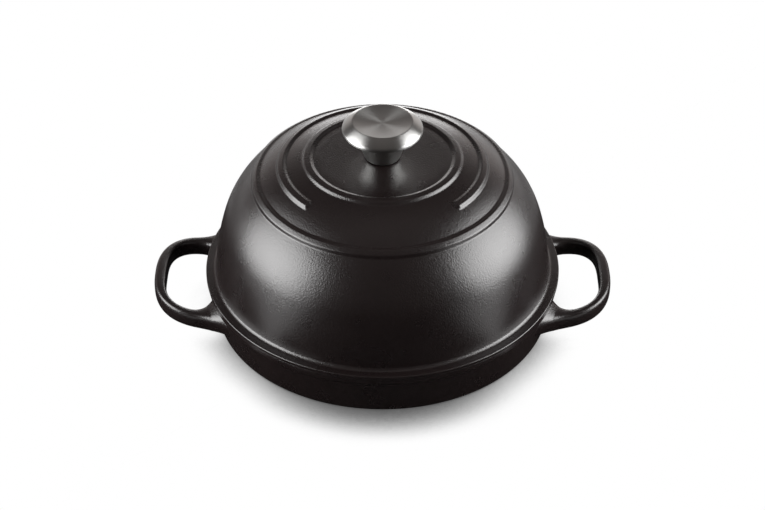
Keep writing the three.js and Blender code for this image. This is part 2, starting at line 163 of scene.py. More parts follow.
class LidShape(PropertyGroup):
    """Sizes of the lid and its ribs."""

    base: length("Base", "Table to the underside of the flange", 33.8)
    height: length("Height", "Underside of the flange to the crown", 96.2)
    wall: length("Wall", "Thickness of the dome", 4.2)
    crown: length("Crown", "Thickness under the knob", 4.6)
    crown_run: angle("Crown run", "Turn of the shoulder in which the crown thins to the wall", 2.865)
    flange_radius: length("Flange radius", "Edge of the flange", 128)
    flange_width: length("Flange width", "Edge of the flange to the foot of the dome", 7.5)
    flange: length("Flange", "Thickness of the flange", 2.7)
    flange_edge: length("Flange edge", "Rounding of the flange's upper edge", 0.7)
    flange_low_edge: length("Flange lower edge", "Rounding of the flange's lower edge", 0.28)
    fillet: length("Fillet", "Hollow between flange and dome", 3)
    lip_outside: length("Lip outside", "Radius of the lip that drops inside the pan", 120.9)
    lip_inside: length("Lip inside", "Inner radius of that lip", 117.3)
    lip_depth: length("Lip depth", "Lip below the flange", 4)
    edge: length("Edge", "Rounding of the lip's and the screw hole's edges", 0.7)
    draft: angle("Draft", "Lean of the dome's foot", 4)
    shoulder_start: angle("Shoulder start", "Lean where the shoulder begins", 16.4)
    shoulder: length("Shoulder", "Radius of the shoulder's curve", 75.4)
    hole: length("Hole", "Radius of the screw's hole", 3.4)
    ribs: IntProperty(name="Ribs", description="Raised rings on the shoulder", default=3)
    broken_rib: IntProperty(name="Broken rib", description="Rib that stops short of the front", default=1)
    first_rib: length("First rib", "Radius of the innermost rib", 52.7)
    rib_pitch: length("Rib pitch", "Distance between the ribs, seen from above", 18.4)
    rib_width: length("Rib width", "Width of a rib half way up its edges", 6)
    rib_height: length("Rib height", "Height of a rib", 1.7)
    rib_run: length("Rib run", "How far an edge of a rib runs out", 3)
    rib_break: angle("Rib break", "Bare on each side of the front", 44.6)


class KnobShape(PropertyGroup):
    """Sizes of the knob's two pressed shells."""

    foot: length("Foot", "Table to the underside of the neck", STEM_LOW[2] / MM)
    height: length("Height", "Foot to the edge of the top disc", 29.4)
    radius: length("Radius", "Widest part of the rim", 28.3)
    dish: length("Dish", "Hollow of the top disc", 1.5)
    bevel_width: length("Bevel width", "Edge of the disc to the rim, seen from above", 7.1)
    bevel_drop: length("Bevel drop", "Edge of the disc to the rim, seen from the side", 6.3)
    bevel_foot: angle("Bevel foot", "Tilt of the bevel where it leaves the rolled rim", 46)
    roll: length("Roll", "Rounding under the rim", 2.6)
    roll_turn: angle("Roll turn", "How far the rim is rolled under", 75)
    wall: length("Wall", "Thickness of the sheet", 1.4)
    foot_radius: length("Foot radius", "Foot of the neck", 12.2)
    foot_edge: length("Foot edge", "Width of the bevel round the foot's underside", 0.56)
    neck_lean: angle("Neck lean", "How far the neck leans out at its foot", 20)
    neck_pull: length("Neck pull", "How far the neck keeps that lean", 12)
    flare_pull: length("Flare pull", "How far the flare keeps the rim's direction", 9)
    seam: length("Seam", "Gap between the two shells", 0.3)
    hole: length("Hole", "Radius of the screw's hole", 3.4)


class Finishes(PropertyGroup):
    """Colours and grain of the enamel and the steel."""

    enamel: colour("Enamel", "Colour of the enamel", (0.0066, 0.0039, 0.0040))
    enamel_thin: colour("Thin enamel", "Colour where the enamel is thinner", (0.0086, 0.0052, 0.0050))
    enamel_roughness: number("Enamel roughness", "Satin of the enamel", 0.28)
    enamel_ior: number("Enamel index", "Refractive index of the enamel's glass", 1.65)
    peel: length("Peel", "Size of the enamel's grain", 1.1)
    peel_depth: length("Peel depth", "Depth of the enamel's grain", 0.17)
    cloud: length("Cloud", "Size of the patches where the enamel is thinner", 22)
    cloud_roughness: number("Cloud roughness", "How much the satin changes over these patches", 0.06)
    steel: colour("Steel", "Colour of the knob", (0.43, 0.43, 0.42))
    cap_roughness: number("Cap roughness", "Polish of the knob's upper shell", 0.35)
    cap_grain: number("Cap grain", "How far its brush marks draw highlights out across them", 0.84)
    neck_roughness: number("Neck roughness", "Polish of the knob's neck", 0.3)
    neck_grain: number("Neck grain", "How far its brush marks draw highlights out across them", 0.4)
    brush: length("Brush", "Spacing of the brush marks round the knob", 0.2)
    brush_depth: length("Brush depth", "Depth of the brush marks", 0.004)
    brush_roughness: number("Brush roughness", "How much the polish changes over the brush marks", 0.1)
    plated: colour("Plated steel", "Colour of the screw and washers", (0.5, 0.5, 0.49))
    plated_roughness: number("Plated roughness", "Polish of the plated steel", 0.28)
    tarnish: colour("Tarnish", "Colour of the plated steel where it has dulled", (0.36, 0.355, 0.34))
    tarnish_size: length("Tarnish size", "Size of the dulled patches", 3)
    tarnish_roughness: number("Tarnish roughness", "How much rougher it is in these patches", 0.2)


class StudioSetup(PropertyGroup):
    """Camera, lamps, floor with its painted contact shadow, cloths seen only in reflections, and room."""

    distance: length("Camera distance", "Camera to the point that it looks at", 1500)
    elevation: angle("Camera elevation", "How far the camera looks down", 37.5)
    aim: length("Aim", "Height of the point that the camera looks at", 43)
    lens: number("Lens", "Focal length in millimetres on a 36 mm wide sensor", 97.3)
    softbox_distance: length("Softbox distance", "Middle of the lid to a softbox", 700)
    softbox_width: length("Softbox width", "Width of a softbox", 800)
    softbox_spread: angle("Softbox spread", "Cone of its light, which fades towards the edge", 102)
    softbox_power: FloatProperty(
        name="Softbox power", description="Power of a softbox", default=4.3, unit="POWER")
    left_turn: angle("Left softbox", "Front to the left softbox, round the pot", 79)
    left_rise: angle("Left softbox rise", "How high the left softbox stands over the lid", 15)
    right_turn: angle("Right softbox", "Front to the right softbox, round the pot", 87)
    right_rise: angle("Right softbox rise", "How high the right softbox stands over the lid", 17)
    strip_distance: length("Strip distance", "Pot's axis to the low lamp behind it", 750)
    strip_width: length("Strip width", "Width of that lamp", 400)
    strip_height: length("Strip height", "Height of that lamp, from the floor", 300)
    strip_power: FloatProperty(
        name="Strip power", description="Power of the low lamp behind the pot", default=1.2, unit="POWER")
    table_width: length("Light table width", "Width of the lamp that lies behind the pot", 170)
    table_depth: length("Light table depth", "Front to back of that lamp", 460)
    table_power: FloatProperty(
        name="Light table power", description="Power of that lamp", default=0.55, unit="POWER")
    paper: number("Paper", "Tone of the floor's paper to the light on it", 0.8)
    # The floor's contact shadow is a painted shadow: ambient occlusion towards the back darkens the
    # floor's white glow, no lamp casts it, and the tilt only aims the occlusion
    shadow_reach: length("Shadow reach", "How far the contact shadow spreads on the floor", 50)
    shadow_tilt: angle("Shadow tilt", "How far the light that casts the shadow comes from behind", 70)
    shadow_start: number("Shadow start", "Hidden share of that light where the shadow begins", 0.32)
    shadow_full: number("Full shadow", "Hidden share of that light where the shadow is darkest", 0.7)
    shadow_tone: number("Shadow tone", "Tone of the floor there", 0.08)
    # Painted reflections: the cloths lie on the white floor but are hidden from the camera, so only the
    # enamel's reflections show them, black in front of and beside the pot and grey behind it
    black_reflection_cloth: number("Black cloth", "Tone of the cloths in front of the pot and beside it", 0.02)
    grey_reflection_cloth: number("Grey cloth", "Tone of the cloths behind it", 0.28)
    cloth_side: length("Cloth at the side", "Pot's axis to the white floor, left and right in front", 124)
    cloth_slant: angle("Cloth slant", "How far each edge of the front cloth turns outwards", 41)
    cloth_start: length("Cloth start", "Pot's axis to the front edge of the cloths beside the pot", 95)
    cloth_back: length("Cloth behind", "Pot's axis to the white floor behind it", 155)
    cloth_far: length("Far edge", "Pot's axis to where the grey cloths behind it end", 600)
    gap_behind: length("Gap behind", "Half of the gap between the grey cloths, nearest the pot", 110)
    gap_spread: angle("Gap spread", "How far each edge of that gap turns outwards", 14)
    table_front: length("Table front", "Pot's axis to where the table ends and the dark room begins", 480)
    room_colour: colour("Room colour", "Colour of the room's light", (1, 0.91, 0.88))
    room: number("Room light", "Strength of the light from all round", 0.085)
    ceiling: number("Ceiling light", "Strength that is added overhead", 0.15)
    glow_tilt: number("Glow tilt", "How much stronger the glow behind the pot grows to the right", 0.4)


class BreadPot(PropertyGroup):
    """All settings of the pot."""

    pan: PointerProperty(type=PanShape)
    handle: PointerProperty(type=HandleShape)
    lid: PointerProperty(type=LidShape)
    knob: PointerProperty(type=KnobShape)
    finish: PointerProperty(type=Finishes)
    studio: PointerProperty(type=StudioSetup)


def arc(middle, radius, start, end, count):
    """Points (radius, height) on a circle about a middle, at equal angles from start to end."""
    turn = np.linspace(start, end, count)
    return np.stack([middle[0] + radius * np.cos(turn), middle[1] + radius * np.sin(turn)], axis=1)


def line(start, end, count):
    """Points at equal steps from one point to another."""
    return np.linspace(start, end, count)


def eased(before, corner, after, radius, count=5):
    """An arc of a given radius that touches both legs of a corner: its middle lies on the bisector at
    radius / sin(half angle), and its points are swung from one touching point to the other."""
    before, corner, after = (np.array(point, dtype=float) for point in (before, corner, after))
    first = (before - corner) / np.linalg.norm(before - corner)
    second = (after - corner) / np.linalg.norm(after - corner)
    half = math.acos(np.clip(first @ second, -1, 1)) / 2
    bisector = (first + second) / np.linalg.norm(first + second)
    middle = corner + bisector * radius / math.sin(half)
    touch = corner + first * radius / math.tan(half)
    swing = math.pi - 2 * half
    side = np.sign(first[0] * second[1] - first[1] * second[0])
    turn = -side * np.linspace(0, swing, count)[:, None]
    arm = touch - middle
    return middle + np.cos(turn) * arm + np.sin(turn) * np.array([-arm[1], arm[0]])


def chain(*runs):
    """Profile runs joined end to end. A point that repeats the one before it is dropped."""
    points = np.concatenate([np.atleast_2d(run) for run in runs])
    step = np.linalg.norm(np.diff(points, axis=0), axis=1)
    return points[np.concatenate([[True], step > SAME_POINT])]


def turned(radius, height, turns):
    """Surface of turning about Z: x = radius cos(turn), y = radius sin(turn), z = height. Radius and
    height have a row for each profile point, and a column for each turn or one column for all."""
    x, y, z = np.broadcast_arrays(radius * np.cos(turns), radius * np.sin(turns), height)
    return np.stack([x, y, z], axis=-1)


def full_turn(count):
    """Equal angles once round."""
    return np.linspace(0, 2 * math.pi, count, endpoint=False)


def round_faces(rows, columns, closed):
    """Corner numbers of the squares between neighbouring grid points. The columns join up round the
    axis, and the rows join up where the profile is closed."""
    row = np.arange(rows if closed else rows - 1)[:, None]
    column = np.arange(columns)[None, :]
    next_row, next_column = (row + 1) % rows, (column + 1) % columns
    corners = (row * columns + column, row * columns + next_column,
               next_row * columns + next_column, next_row * columns + column)
    return np.stack(np.broadcast_arrays(*corners), axis=-1).reshape(-1, 4)


def piece(name, grids, material, body, *nodes):
    """A mesh object from point grids whose columns close. Each grid comes with whether its rows close
    too. Points that coincide, as at a pole, are merged. The piece rides on a body and stands in for
    nodes of the frame."""
    points, faces, count = [], [], 0
    for grid, closed in grids:
        rows, columns = grid.shape[:2]
        points.append(grid.reshape(-1, 3))
        faces.append(round_faces(rows, columns, closed) + count)
        count += rows * columns
    mesh = bpy.data.meshes.new(name)
    mesh.from_pydata(np.concatenate(points).tolist(), [], np.concatenate(faces).tolist())
    shell = bmesh.new()
    shell.from_mesh(mesh)
    bmesh.ops.remove_doubles(shell, verts=shell.verts, dist=SAME_POINT)
    shell.to_mesh(mesh)
    shell.free()
    mesh.polygons.foreach_set("use_smooth", np.ones(len(mesh.polygons), dtype=bool))
    mesh.materials.append(material)
    made = bpy.data.objects.new(name, mesh)
    bpy.context.scene.collection.objects.link(made)
    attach(made, body)
    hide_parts(*nodes)
    return made


class Wire:
    """An output of a node tree. Arithmetic on wires and numbers adds Math nodes to the tree."""

    def __init__(self, tree, socket=None):
        self.tree = tree
        self.socket = socket

    def node(self, kind, settings=None, sockets=None, output=0):
        """Adds a node of a kind. Settings are put on the node first, and then each socket, by name or
        number, gets a value or a link. Returns a wire from one of the node's outputs."""
        added = self.tree.nodes.new(kind)
        for key, value in (settings or {}).items():
            setattr(added, key, value)
        for key, value in (sockets or {}).items():
            if isinstance(value, Wire):
                self.tree.links.new(value.socket, added.inputs[key])
            else:
                added.inputs[key].default_value = value
        return Wire(self.tree, added.outputs[output] if len(added.outputs) else None)

    def math(self, operation, *values):
        """Adds one Math node."""
        return self.node("ShaderNodeMath", {"operation": operation}, dict(enumerate(values)))

    def mixed(self, factor, first, second):
        """Adds a Mix node for two colours."""
        return self.node("ShaderNodeMix", {"data_type": "RGBA"},
                         {"Factor": factor, 6: first, 7: second}, output=2)

    def stepped(self, value, start, end):
        """Adds a smooth step from 0 where the value is at the start to 1 at the end."""
        return self.node("ShaderNodeMapRange", {"interpolation_type": "SMOOTHSTEP"},
                         {"Value": value, "From Min": start, "From Max": end})

    def axes(self):
        """The three numbers of a vector."""
        split = self.node("ShaderNodeSeparateXYZ", sockets={"Vector": self}).socket.node
        return [Wire(self.tree, split.outputs[axis]) for axis in "XYZ"]

    def __add__(self, other):
        return self.math("ADD", self, other)

    def __radd__(self, other):
        return self.math("ADD", other, self)

    def __sub__(self, other):
        return self.math("SUBTRACT", self, other)

    def __rsub__(self, other):
        return self.math("SUBTRACT", other, self)

    def __mul__(self, other):
        return self.math("MULTIPLY", self, other)

    def __rmul__(self, other):
        return self.math("MULTIPLY", other, self)

    def __pow__(self, other):
        return self.math("POWER", self, other)


def blank_material(name):
    """A new material with an empty node tree, and a wire to build it with."""
    material = bpy.data.materials.new(name)
    material.use_nodes = True
    material.node_tree.nodes.clear()
    return material, Wire(material.node_tree)


def grey(tone):
    """A colour of one tone, from 0 for black to 1 for white."""
    return tone, tone, tone, 1.0


def satin_enamel(finish):
    """Black vitreous enamel: a satin gloss over a fine orange-peel grain, a little browner and duller in
    soft clouds where it is thin."""
    material, sheet = blank_material("satin black enamel")
    place = sheet.node("ShaderNodeTexCoord", output="Object")
    peel = sheet.node("ShaderNodeTexNoise", sockets={
        "Vector": place, "Scale": 1 / finish.peel, "Detail": 2.0, "Roughness": 0.55})
    cloud = sheet.node("ShaderNodeTexNoise", sockets={
        "Vector": place, "Scale": 1 / finish.cloud, "Detail": 3.0})
    bump = sheet.node("ShaderNodeBump", sockets={
        "Strength": 1.0, "Distance": finish.peel_depth, "Height": peel})
    tone = sheet.mixed(cloud, (*finish.enamel, 1.0), (*finish.enamel_thin, 1.0))
    shader = sheet.node("ShaderNodeBsdfPrincipled", sockets={
        "Base Color": tone,
        "Roughness": finish.enamel_roughness + finish.cloud_roughness * (cloud - 0.5),
        "IOR": finish.enamel_ior,
        "Normal": bump})
    sheet.node("ShaderNodeOutputMaterial", sockets={"Surface": shader})
    return material


def brushed_steel(finish, name, climb, roughness, grain):
    """Stainless steel with brush marks round the axis: a noise of radius + climb * height, so that the
    marks stay rings on the flat disc as well as on the upright neck."""
    material, sheet = blank_material(name)
    x, y, z = sheet.node("ShaderNodeTexCoord", output="Object").axes()
    across = (x * x + y * y) ** 0.5 + climb * z
    marks = sheet.node("ShaderNodeTexNoise", {"noise_dimensions": "1D"}, {
        "W": across, "Scale": 1 / finish.brush, "Detail": 3.0, "Roughness": 0.7})
    bump = sheet.node("ShaderNodeBump", sockets={
        "Strength": 1.0, "Distance": finish.brush_depth, "Height": marks})
    shader = sheet.node("ShaderNodeBsdfPrincipled", sockets={
        "Base Color": (*finish.steel, 1.0),
        "Metallic": 1.0,
        "Roughness": roughness + finish.brush_roughness * (marks - 0.5),
        "Anisotropic": grain,
        "Anisotropic Rotation": ACROSS_MARKS,
        "Normal": bump})
    sheet.node("ShaderNodeOutputMaterial", sockets={"Surface": shader})
    return material


def plated_steel(finish):
    """Plated steel of the fixing, darker and duller in soft patches."""
    material, sheet = blank_material("plated steel")
    place = sheet.node("ShaderNodeTexCoord", output="Object")
    patch = sheet.node("ShaderNodeTexNoise", sockets={
        "Vector": place, "Scale": 1 / finish.tarnish_size, "Detail": 3.0})
    dull = sheet.stepped(patch, *TARNISH_STEP)
    shader = sheet.node("ShaderNodeBsdfPrincipled", sockets={
        "Base Color": sheet.mixed(dull, (*finish.plated, 1.0), (*finish.tarnish, 1.0)),
        "Metallic": 1.0,
        "Roughness": finish.plated_roughness + finish.tarnish_roughness * patch})
    sheet.node("ShaderNodeOutputMaterial", sockets={"Surface": shader})
    return material


def finish_material(context, name, make):
    """The material of a name, made on first use."""
    return bpy.data.materials.get(name) or make(context.scene.bread_pot.finish)


def wall_radius(pan, height):
    """Outside of the pan's wall at a height: the wall leans out by its draft."""
    return pan.rim_radius - pan.proud - (pan.seat - height) * math.tan(pan.draft)


def smooth(share):
    """Smooth step 3 t^2 - 2 t^3."""
    return share * share * (3 - 2 * share)


def pan_profile(pan):
    """Pan from the middle of its underside round the outside and the rim to the middle of its floor.
    Near the rim the wall eases out by a smooth step, each corner is an arc, and each ridge is half an
    ellipse on the floor."""
    slope = math.tan(pan.draft)
    rim_top = pan.seat - pan.edge
    corner_middle = (wall_radius(pan, pan.corner) - pan.corner, pan.corner)
    mouth, mouth_foot = pan.rim_radius - pan.rim_width, pan.seat - pan.mouth_depth
    inner_foot = pan.floor + pan.inner_corner
    inner_middle = (mouth - (mouth_foot - inner_foot) * slope - pan.inner_corner, inner_foot)
    centre = np.arange(pan.ridges, 0, -1)[:, None] * pan.ridge_pitch
    across = np.linspace(-math.pi / 2, math.pi / 2, 13)
    ridges = np.stack(np.broadcast_arrays(
        centre - pan.ridge_width / 2 * np.sin(across),
        pan.floor + pan.ridge_height * np.cos(across)), axis=-1).reshape(-1, 2)
    outside = arc(corner_middle, pan.corner, -math.pi / 2, -pan.draft, 10)
    share = np.linspace(0, 1, 16)
    height = rim_top - pan.band - pan.ease * (1 - share)
    wall = wall_radius(pan, height)
    ease = np.stack([wall + (pan.rim_radius - wall) * smooth(share), height], axis=1)
    rim_edge = arc((pan.rim_radius - pan.edge, rim_top), pan.edge, 0, math.pi / 2, 7)
    mouth_edge = eased(rim_edge[-1], (mouth, pan.seat), (mouth, mouth_foot), pan.edge)
    inner_corner = arc(inner_middle, pan.inner_corner, -pan.draft, -math.pi / 2, 10)
    return chain(
        line((0, 0), outside[0], 8), outside, line(outside[-1], ease[0], 8), ease, rim_edge,
        mouth_edge, line((mouth, mouth_foot), inner_corner[0], 6), inner_corner,
        ridges, (0, pan.floor))


def swelling(handle, distance):
    """How far an arm has swollen at a distance from the wall: a power of the share of the root that is
    left, 1 at the wall and 0 at the root's length."""
    return (1 - np.clip(distance / handle.root_length, 0, 1)) ** handle.root_power


def powered(value, power):
    """A coordinate of a superellipse from a cosine or sine: its sign times its size to 2 / power."""
    return np.sign(value) * np.abs(value) ** (2 / power)


def loop_edge(share, foot_radius, half_length, tip, power, straight):
    """One edge of a loop in plan: half a superellipse from the arm at +Y to the arm at -Y."""
    bend = math.sqrt(foot_radius ** 2 - half_length ** 2) + straight
    turn = math.pi * (0.5 - 0.5 * np.cos(math.pi * share))
    return bend + (tip - bend) * powered(np.sin(turn), power), half_length * powered(np.cos(turn), power)


def handle_grid(pan, handle):
    """Loop handle on the +X side: a superellipse bar carried between the loop's outer and inner edge, and
    from the bend straight along X until it lies inside the wall. Near the wall it swells along the wall
    and up to the rim. Each line along the bar meets the leaning wall at its own height, so the swelling
    ends flush with the wall all round."""
    landing = np.linspace(1, 0, ROOT_STATIONS, endpoint=False)
    share = np.concatenate([np.zeros(ROOT_STATIONS), np.linspace(0, 1, LOOP_STATIONS + 1),
                            np.ones(ROOT_STATIONS)])[:, None]
    landing = np.concatenate([landing, np.zeros(LOOP_STATIONS + 1), landing[::-1]])[:, None]
    side = full_turn(BAR_SIDES)[None, :]
    across = (1 + powered(np.cos(side), handle.bar_power)) / 2
    up = powered(np.sin(side), handle.bar_power)
    foot = wall_radius(pan, handle.height)
    outer_x, outer_y = loop_edge(
        share, foot, handle.half_length, handle.tip, handle.loop_power, handle.straight)
    inner_x, inner_y = loop_edge(
        share, foot, handle.half_length - handle.width, handle.tip - handle.width,
        handle.hole_power, handle.straight)
    height = handle.height + ((outer_x + inner_x) / 2 - foot) * math.tan(handle.rise)
    root_rise = np.where(up > 0, handle.root_up, 0)
    wall = wall_radius(pan, height + (handle.thickness / 2 + root_rise) * up)
    x = inner_x + (outer_x - inner_x) * across
    y = inner_y + (outer_y - inner_y) * across
    start = np.hypot(x, y)
    radius = start + (wall - handle.sink - start) * landing
    root = swelling(handle, radius - wall)
    root_out = handle.root_out * (1 + handle.root_tuck * np.minimum(up, 0))
    sideways = np.sign(y) * root * ((handle.root_in + root_out) * across - handle.root_in)
    turn = np.arcsin(y / radius) + sideways / radius
    z = height + (handle.thickness / 2 + root * root_rise) * up
    grid = np.stack([radius * np.cos(turn), radius * np.sin(turn), z], axis=-1)
    ends = grid[[0, -1]].mean(axis=1, keepdims=True) * np.ones((1, BAR_SIDES, 1))
    return np.concatenate([ends[:1], grid, ends[1:]])


class BREADPOT_OT_pan(Operator):
    """Pan with its two loop handles"""

    bl_idname = "bread_pot.pan"
    bl_label = "Pan and handles"

    def execute(self, context):
        pot = context.scene.bread_pot
        profile = pan_profile(pot.pan)
        bowl = turned(profile[:, :1], profile[:, 1:], full_turn(CASTING_TURNS))
        right = handle_grid(pot.pan, pot.handle)
        left = right * (-1, -1, 1)
        enamel = finish_material(context, "satin black enamel", satin_enamel)
        made = piece("pan_casting", [(bowl, False), (right, False), (left, False)],
                     enamel, "base", "base_pan")
        return {"FINISHED"}


def dome_arcs(lid):
    """Middles and radius of the dome's two arcs: the wall leaves the flange's fillet at the draft and
    runs smoothly into the shoulder, which ends level with the crown."""
    foot_height = lid.flange + lid.fillet * (1 - math.sin(lid.draft))
    foot_radius = lid.flange_radius - lid.flange_width
    rise = lid.height - foot_height - lid.shoulder * (1 - math.sin(lid.shoulder_start))
    wall = rise / (math.sin(lid.shoulder_start) - math.sin(lid.draft))
    wall_middle = (foot_radius - wall * math.cos(lid.draft),
                   lid.base + foot_height - wall * math.sin(lid.draft))
    shoulder_middle = (wall_middle[0] + (wall - lid.shoulder) * math.cos(lid.shoulder_start),
                       lid.base + lid.height - lid.shoulder)
    return wall_middle, wall, shoulder_middle


def rib_turns(lid):
    """Angles round the lid, equal but for more of them at the two ends of the broken rib."""
    ends = -math.pi / 2 + np.array([[-1], [1]]) * lid.rib_break
    radius = lid.first_rib + lid.broken_rib * lid.rib_pitch
    spread = np.linspace(-RIB_END_REACH, RIB_END_REACH, RIB_END_TURNS) * lid.rib_width / radius
    closer = (ends + spread) % (2 * math.pi)
    return np.unique(np.concatenate([full_turn(CASTING_TURNS), closer.ravel()]))


def rib_lift(lid, lean, turns, middle):
    """Height of the ribs over the shoulder: flat on top, and down a smooth step (3 t^2 - 2 t^3) at its
    two edges and, on the broken rib, at its two ends."""
    from_front = np.abs((turns + math.pi / 2 + math.pi) % (2 * math.pi) - math.pi)
    lift = np.zeros((len(lean), len(turns)))
    for rib in range(lid.ribs):
        radius = lid.first_rib + rib * lid.rib_pitch
        crest = math.acos((radius - middle[0]) / lid.shoulder)
        inside = lid.rib_width / 2 - np.abs(lid.shoulder * (lean[:, None] - crest))
        step = np.clip(0.5 + inside / lid.rib_run, 0, 1)
        if rib == lid.broken_rib:
            step = step * np.clip(0.5 + (from_front - lid.rib_break) * radius / lid.rib_run, 0, 1)
        lift += lid.rib_height * smooth(step)
    return lift


def lid_grid(lid, turns):
    """Lid as one closed profile: lip, flange, fillet, wall, ribbed shoulder, crown, screw hole, and back
    down the inside. The ribs lift the shoulder along its own radius."""
    wall_middle, wall, middle = dome_arcs(lid)
    base, top = lid.base, lid.base + lid.height
    rim = lid.flange_radius
    foot_radius = rim - lid.flange_width
    flange_middle = (rim - lid.flange_edge, base + lid.flange - lid.flange_edge)
    fillet_middle = (foot_radius + lid.fillet * math.cos(lid.draft), base + lid.flange + lid.fillet)
    lip_low, lip_in, lip_out = base - lid.lip_depth, lid.lip_inside, lid.lip_outside
    under, half_way = top - lid.crown, middle[0] / 2
    inner_wall = arc(wall_middle, wall - lid.wall, lid.shoulder_start, lid.draft, 12)
    outside = chain(
        eased((lip_in, base), (lip_in, lip_low), (lip_out, lip_low), lid.edge),
        eased((lip_in, lip_low), (lip_out, lip_low), (lip_out, base), lid.edge),
        line((lip_out, base - lid.edge), (lip_out, base), 3),
        eased((lip_out, base), (rim, base), (rim, base + lid.flange), lid.flange_low_edge),
        arc(flange_middle, lid.flange_edge, 0, math.pi / 2, 7),
        arc(fillet_middle, lid.fillet, 1.5 * math.pi, math.pi + lid.draft, 16),
        arc(wall_middle, wall, lid.draft, lid.shoulder_start, 14))
    inside = chain(
        (half_way, top),
        eased((middle[0], top), (lid.hole, top), (lid.hole, under), lid.edge),
        eased((lid.hole, top), (lid.hole, under), (middle[0], under), lid.edge),
        line((half_way, under), (middle[0], under), 4),
        arc(middle, lid.shoulder - lid.wall, math.pi / 2 - lid.crown_run, lid.shoulder_start, 40),
        inner_wall,
        eased(inner_wall[-1], (lip_in, base + lid.flange), (lip_in, lip_low), lid.edge))
    lean = np.linspace(lid.shoulder_start, math.pi / 2, SHOULDER_ROWS)[1:]
    radius = lid.shoulder + rib_lift(lid, lean, turns, middle)
    shoulder = turned(middle[0] + radius * np.cos(lean)[:, None],
                      middle[1] + radius * np.sin(lean)[:, None], turns)
    return np.concatenate([
        turned(outside[:, :1], outside[:, 1:], turns), shoulder,
        turned(inside[:, :1], inside[:, 1:], turns)])


class BREADPOT_OT_lid(Operator):
    """Domed lid with its ribs"""

    bl_idname = "bread_pot.lid"
    bl_label = "Lid"

    def execute(self, context):
        lid = context.scene.bread_pot.lid
        enamel = finish_material(context, "satin black enamel", satin_enamel)
        made = piece("lid_casting", [(lid_grid(lid, rib_turns(lid)), True)], enamel, "lid", "lid_dome")
        return {"FINISHED"}


def cap_face(knob, inset):
    """One face of the knob's upper shell, at an inset from the outside: a dished disc (a parabola), the
    bevel, and an arc rolled under the rim. The bevel is an arc that leaves the rolled rim without a
    corner and passes through the disc's edge: for the step from its lower end to that edge, its radius is
    the step's square over minus twice the step's part along the normal at the lower end."""
    rim = knob.foot + knob.height - knob.bevel_drop
    roll_middle = np.array([knob.radius - knob.roll, rim])
    normal = np.array([math.cos(knob.bevel_foot), math.sin(knob.bevel_foot)])
    low = roll_middle + knob.roll * normal
    step = np.array([knob.radius - knob.bevel_width, rim + knob.bevel_drop]) - low
    bow = -(step @ step) / (2 * step @ normal)
    out, up = step + bow * normal
    bevel = arc(low - bow * normal, bow - inset, math.atan2(up, out), knob.bevel_foot, 24)
    share = np.linspace(0, 1, 24)
    disc = np.stack([share * bevel[0, 0], bevel[0, 1] - knob.dish * (1 - share ** 2)], axis=1)
    roll = arc(roll_middle, knob.roll - inset, knob.bevel_foot, -knob.roll_turn, 22)
    return chain(disc, bevel, roll)


def stem_profile(knob):
    """Lower shell as a closed profile: the outside is a cubic Bezier curve from the foot to the end of
    the rolled rim, and the inside is the same curve moved inwards by the sheet's thickness."""
    rim = knob.foot + knob.height - knob.bevel_drop
    inward = np.array([-math.sin(knob.roll_turn), -math.cos(knob.roll_turn)])
    roll_end = np.array([knob.radius - knob.roll * (1 - math.cos(knob.roll_turn)),
                         rim - knob.roll * math.sin(knob.roll_turn)])
    foot = np.array([knob.foot_radius, knob.foot])
    lean = np.array([math.sin(knob.neck_lean), math.cos(knob.neck_lean)])
    pulls = np.stack([foot, foot + lean * knob.neck_pull,
                      roll_end + inward * (knob.seam + knob.flare_pull), roll_end + inward * knob.seam])
    share = np.linspace(0, 1, 40)[:, None]
    weights = np.concatenate([(1 - share) ** 3, 3 * share * (1 - share) ** 2,
                              3 * share ** 2 * (1 - share), share ** 3], axis=1)
    outside = weights @ pulls
    along = np.gradient(outside, axis=0)
    along /= np.linalg.norm(along, axis=1, keepdims=True)
    floor = knob.foot + knob.wall
    inside = outside + knob.wall * np.stack([-along[:, 1], along[:, 0]], axis=1)
    inside = inside[inside[:, 1] > floor]
    return chain((knob.hole, knob.foot), (knob.foot_radius - knob.foot_edge, knob.foot), outside[1:],
                 inside[::-1], (knob.foot_radius - knob.wall, floor), (knob.hole, floor))


class BREADPOT_OT_knob(Operator):
    """Knob: the upper shell and the neck"""

    bl_idname = "bread_pot.knob"
    bl_label = "Knob"

    def execute(self, context):
        knob, finish = context.scene.bread_pot.knob, context.scene.bread_pot.finish
        turns = full_turn(KNOB_TURNS)
        shell = chain(cap_face(knob, knob.wall), cap_face(knob, 0)[::-1])
        neck = stem_profile(knob)
        cap_steel = brushed_steel(
            finish, "brushed cap steel", -1, finish.cap_roughness, finish.cap_grain)
        neck_steel = brushed_steel(
            finish, "brushed neck steel", 1, finish.neck_roughness, finish.neck_grain)
        cap = piece("knob_shell", [(turned(shell[:, :1], shell[:, 1:], turns), False)],
                    cap_steel, "lid", "knob_cap")
        stem = piece("knob_neck", [(turned(neck[:, :1], neck[:, 1:], turns), True)],
                     neck_steel, "lid", "knob_stem")
        return {"FINISHED"}


class BREADPOT_OT_fixing(Operator):
    """Screw, washers and insert of the knob, which keep their own shapes"""

    bl_idname = "bread_pot.fixing"
    bl_label = "Knob fixing"

    def execute(self, context):
        steel = finish_material(context, "plated steel", plated_steel)
        for name in ("knob_screw", "spring_washer", "flat_washer", "knob_insert"):
            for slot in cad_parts[name].material_slots:
                slot.material = steel
        return {"FINISHED"}


